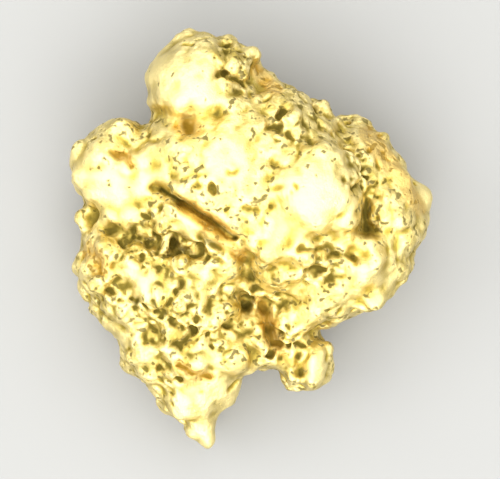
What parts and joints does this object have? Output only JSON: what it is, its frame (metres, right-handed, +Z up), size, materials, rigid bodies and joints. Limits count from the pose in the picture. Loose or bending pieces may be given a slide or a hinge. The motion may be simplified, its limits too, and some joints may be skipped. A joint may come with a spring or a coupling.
{
  "type": "gold nugget",
  "caption": "Small solid nugget of stream-worn native gold: lumpy and pitted, with rubbed bright high spots, a pointed toe and a worn flat underside to rest on.",
  "frame": {"origin": "centre of the nugget's footprint box, on the worn flat of its underside", "axes": "+Y from the toe towards the crown along the nugget's length, +Z up from the worn flat, +X to the right of +Y seen from above"},
  "size_m": [0.0072, 0.0082, 0.0034],
  "materials": {
    "gold": "satin"
  },
  "bodies": {
    "root": {"nugget": "gold"}
  },
  "joints": []
}
